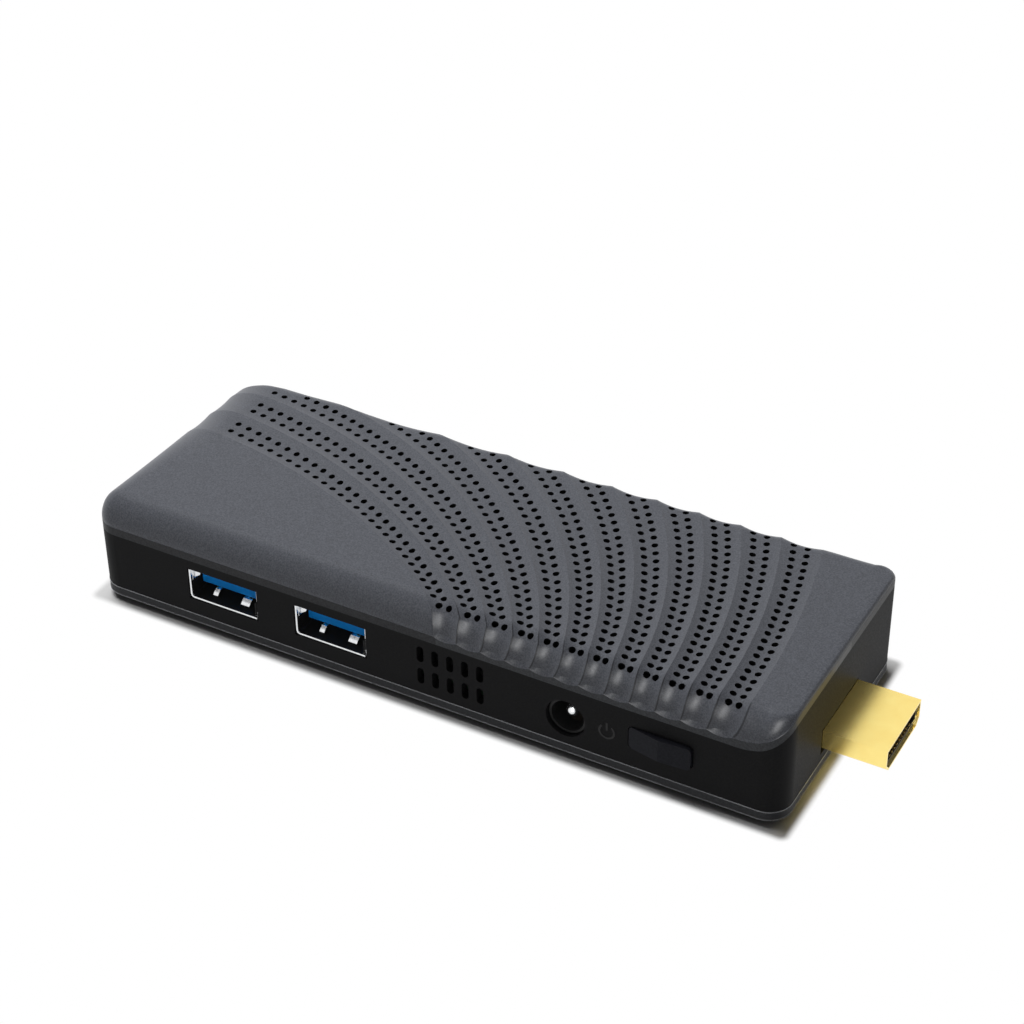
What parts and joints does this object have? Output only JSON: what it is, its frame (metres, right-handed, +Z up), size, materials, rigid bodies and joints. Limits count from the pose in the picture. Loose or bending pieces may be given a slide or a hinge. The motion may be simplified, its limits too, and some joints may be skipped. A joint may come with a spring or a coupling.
{
  "type": "hdmi stick computer",
  "caption": "Slim stick computer with a fluted, perforated top, display plug on one end, data sockets, vent slots, power jack and push button on its front wall.",
  "frame": {"origin": "middle of the bounding box at the level the feet stand on", "axes": "+X out of the display plug along the case, +Y towards the plain back wall, so the sockets face -Y, +Z up through the perforated top"},
  "size_m": [0.135, 0.0462, 0.0204],
  "materials": {
    "cover_grey": "bead-blasted metallic grey",
    "base_grey": "bead-blasted dark grey",
    "frame_black": "satin",
    "foot_rubber": "matte",
    "screw_steel": "zinc plated",
    "button_slate": "satin",
    "board_green": "solder mask",
    "chip_black": "moulded",
    "pad_grey": "soft",
    "sink_aluminium": "extruded, black anodised",
    "ferrite_grey": "sintered",
    "can_steel": "tinned",
    "contact_gold": "gold flashed",
    "lead_black": "jacket",
    "fan_black": "moulded",
    "bearing_brass": "sintered",
    "coil_copper": "enamelled wire",
    "port_nickel": "nickel plated",
    "tongue_blue": "moulded",
    "plug_gold": "gold plated",
    "core_black": "moulded",
    "plunger_cream": "moulded"
  },
  "bodies": {
    "case": {"top_cover": "cover_grey", "mid_frame": "frame_black", "bottom_cover": "base_grey", "feet": "foot_rubber", "case_screws": "screw_steel", "main_board": "board_green", "board_screws": "screw_steel", "processor": "chip_black", "thermal_pad": "pad_grey", "heat_sink": "sink_aluminium", "heat_sink_screws": "screw_steel", "memory_chips": "chip_black", "storage_chip": "chip_black", "power_chips": "chip_black", "inductors": "ferrite_grey", "wireless_module": "can_steel", "antenna": "contact_gold", "antenna_lead": "lead_black", "clock_cell": "can_steel", "cell_holder": "chip_black", "fan_housing": "fan_black", "fan_lid": "fan_black", "fan_screws": "screw_steel", "fan_bearing": "bearing_brass", "fan_stator": "coil_copper", "usb_shell_left": "port_nickel", "usb_shell_right": "port_nickel", "usb_tongue_left": "tongue_blue", "usb_tongue_right": "tongue_blue", "usb_contacts": "contact_gold", "hdmi_shell": "plug_gold", "hdmi_core": "core_black", "hdmi_contacts": "contact_gold", "dc_jack_body": "core_black", "dc_jack_pin": "port_nickel", "dc_jack_contact": "contact_gold", "switch_body": "chip_black"},
    "button": {"power_button": "button_slate"},
    "plunger": {"switch_plunger": "plunger_cream"},
    "fan_rotor": {"fan_wheel": "fan_black", "fan_shaft": "screw_steel", "fan_magnet": "ferrite_grey"}
  },
  "joints": [
    {"name": "button_press", "type": "slide", "parent": "case", "child": "button", "axis": [0, 1, 0], "range_m": [0, 0.0004], "stiffness_N_per_m": 2500},
    {"name": "plunger_press", "type": "slide", "parent": "case", "child": "plunger", "axis": [0, 1, 0], "range_m": [0, 0.0004]},
    {"name": "fan_spin", "type": "hinge", "parent": "case", "child": "fan_rotor", "pos_m": [0.0006, 0.0086, 0.0098], "axis": [0, 0, 1], "continuous": true}
  ],
  "couplings": [
    {"joint": "plunger_press", "follows": "button_press", "ratio": 1}
  ]
}
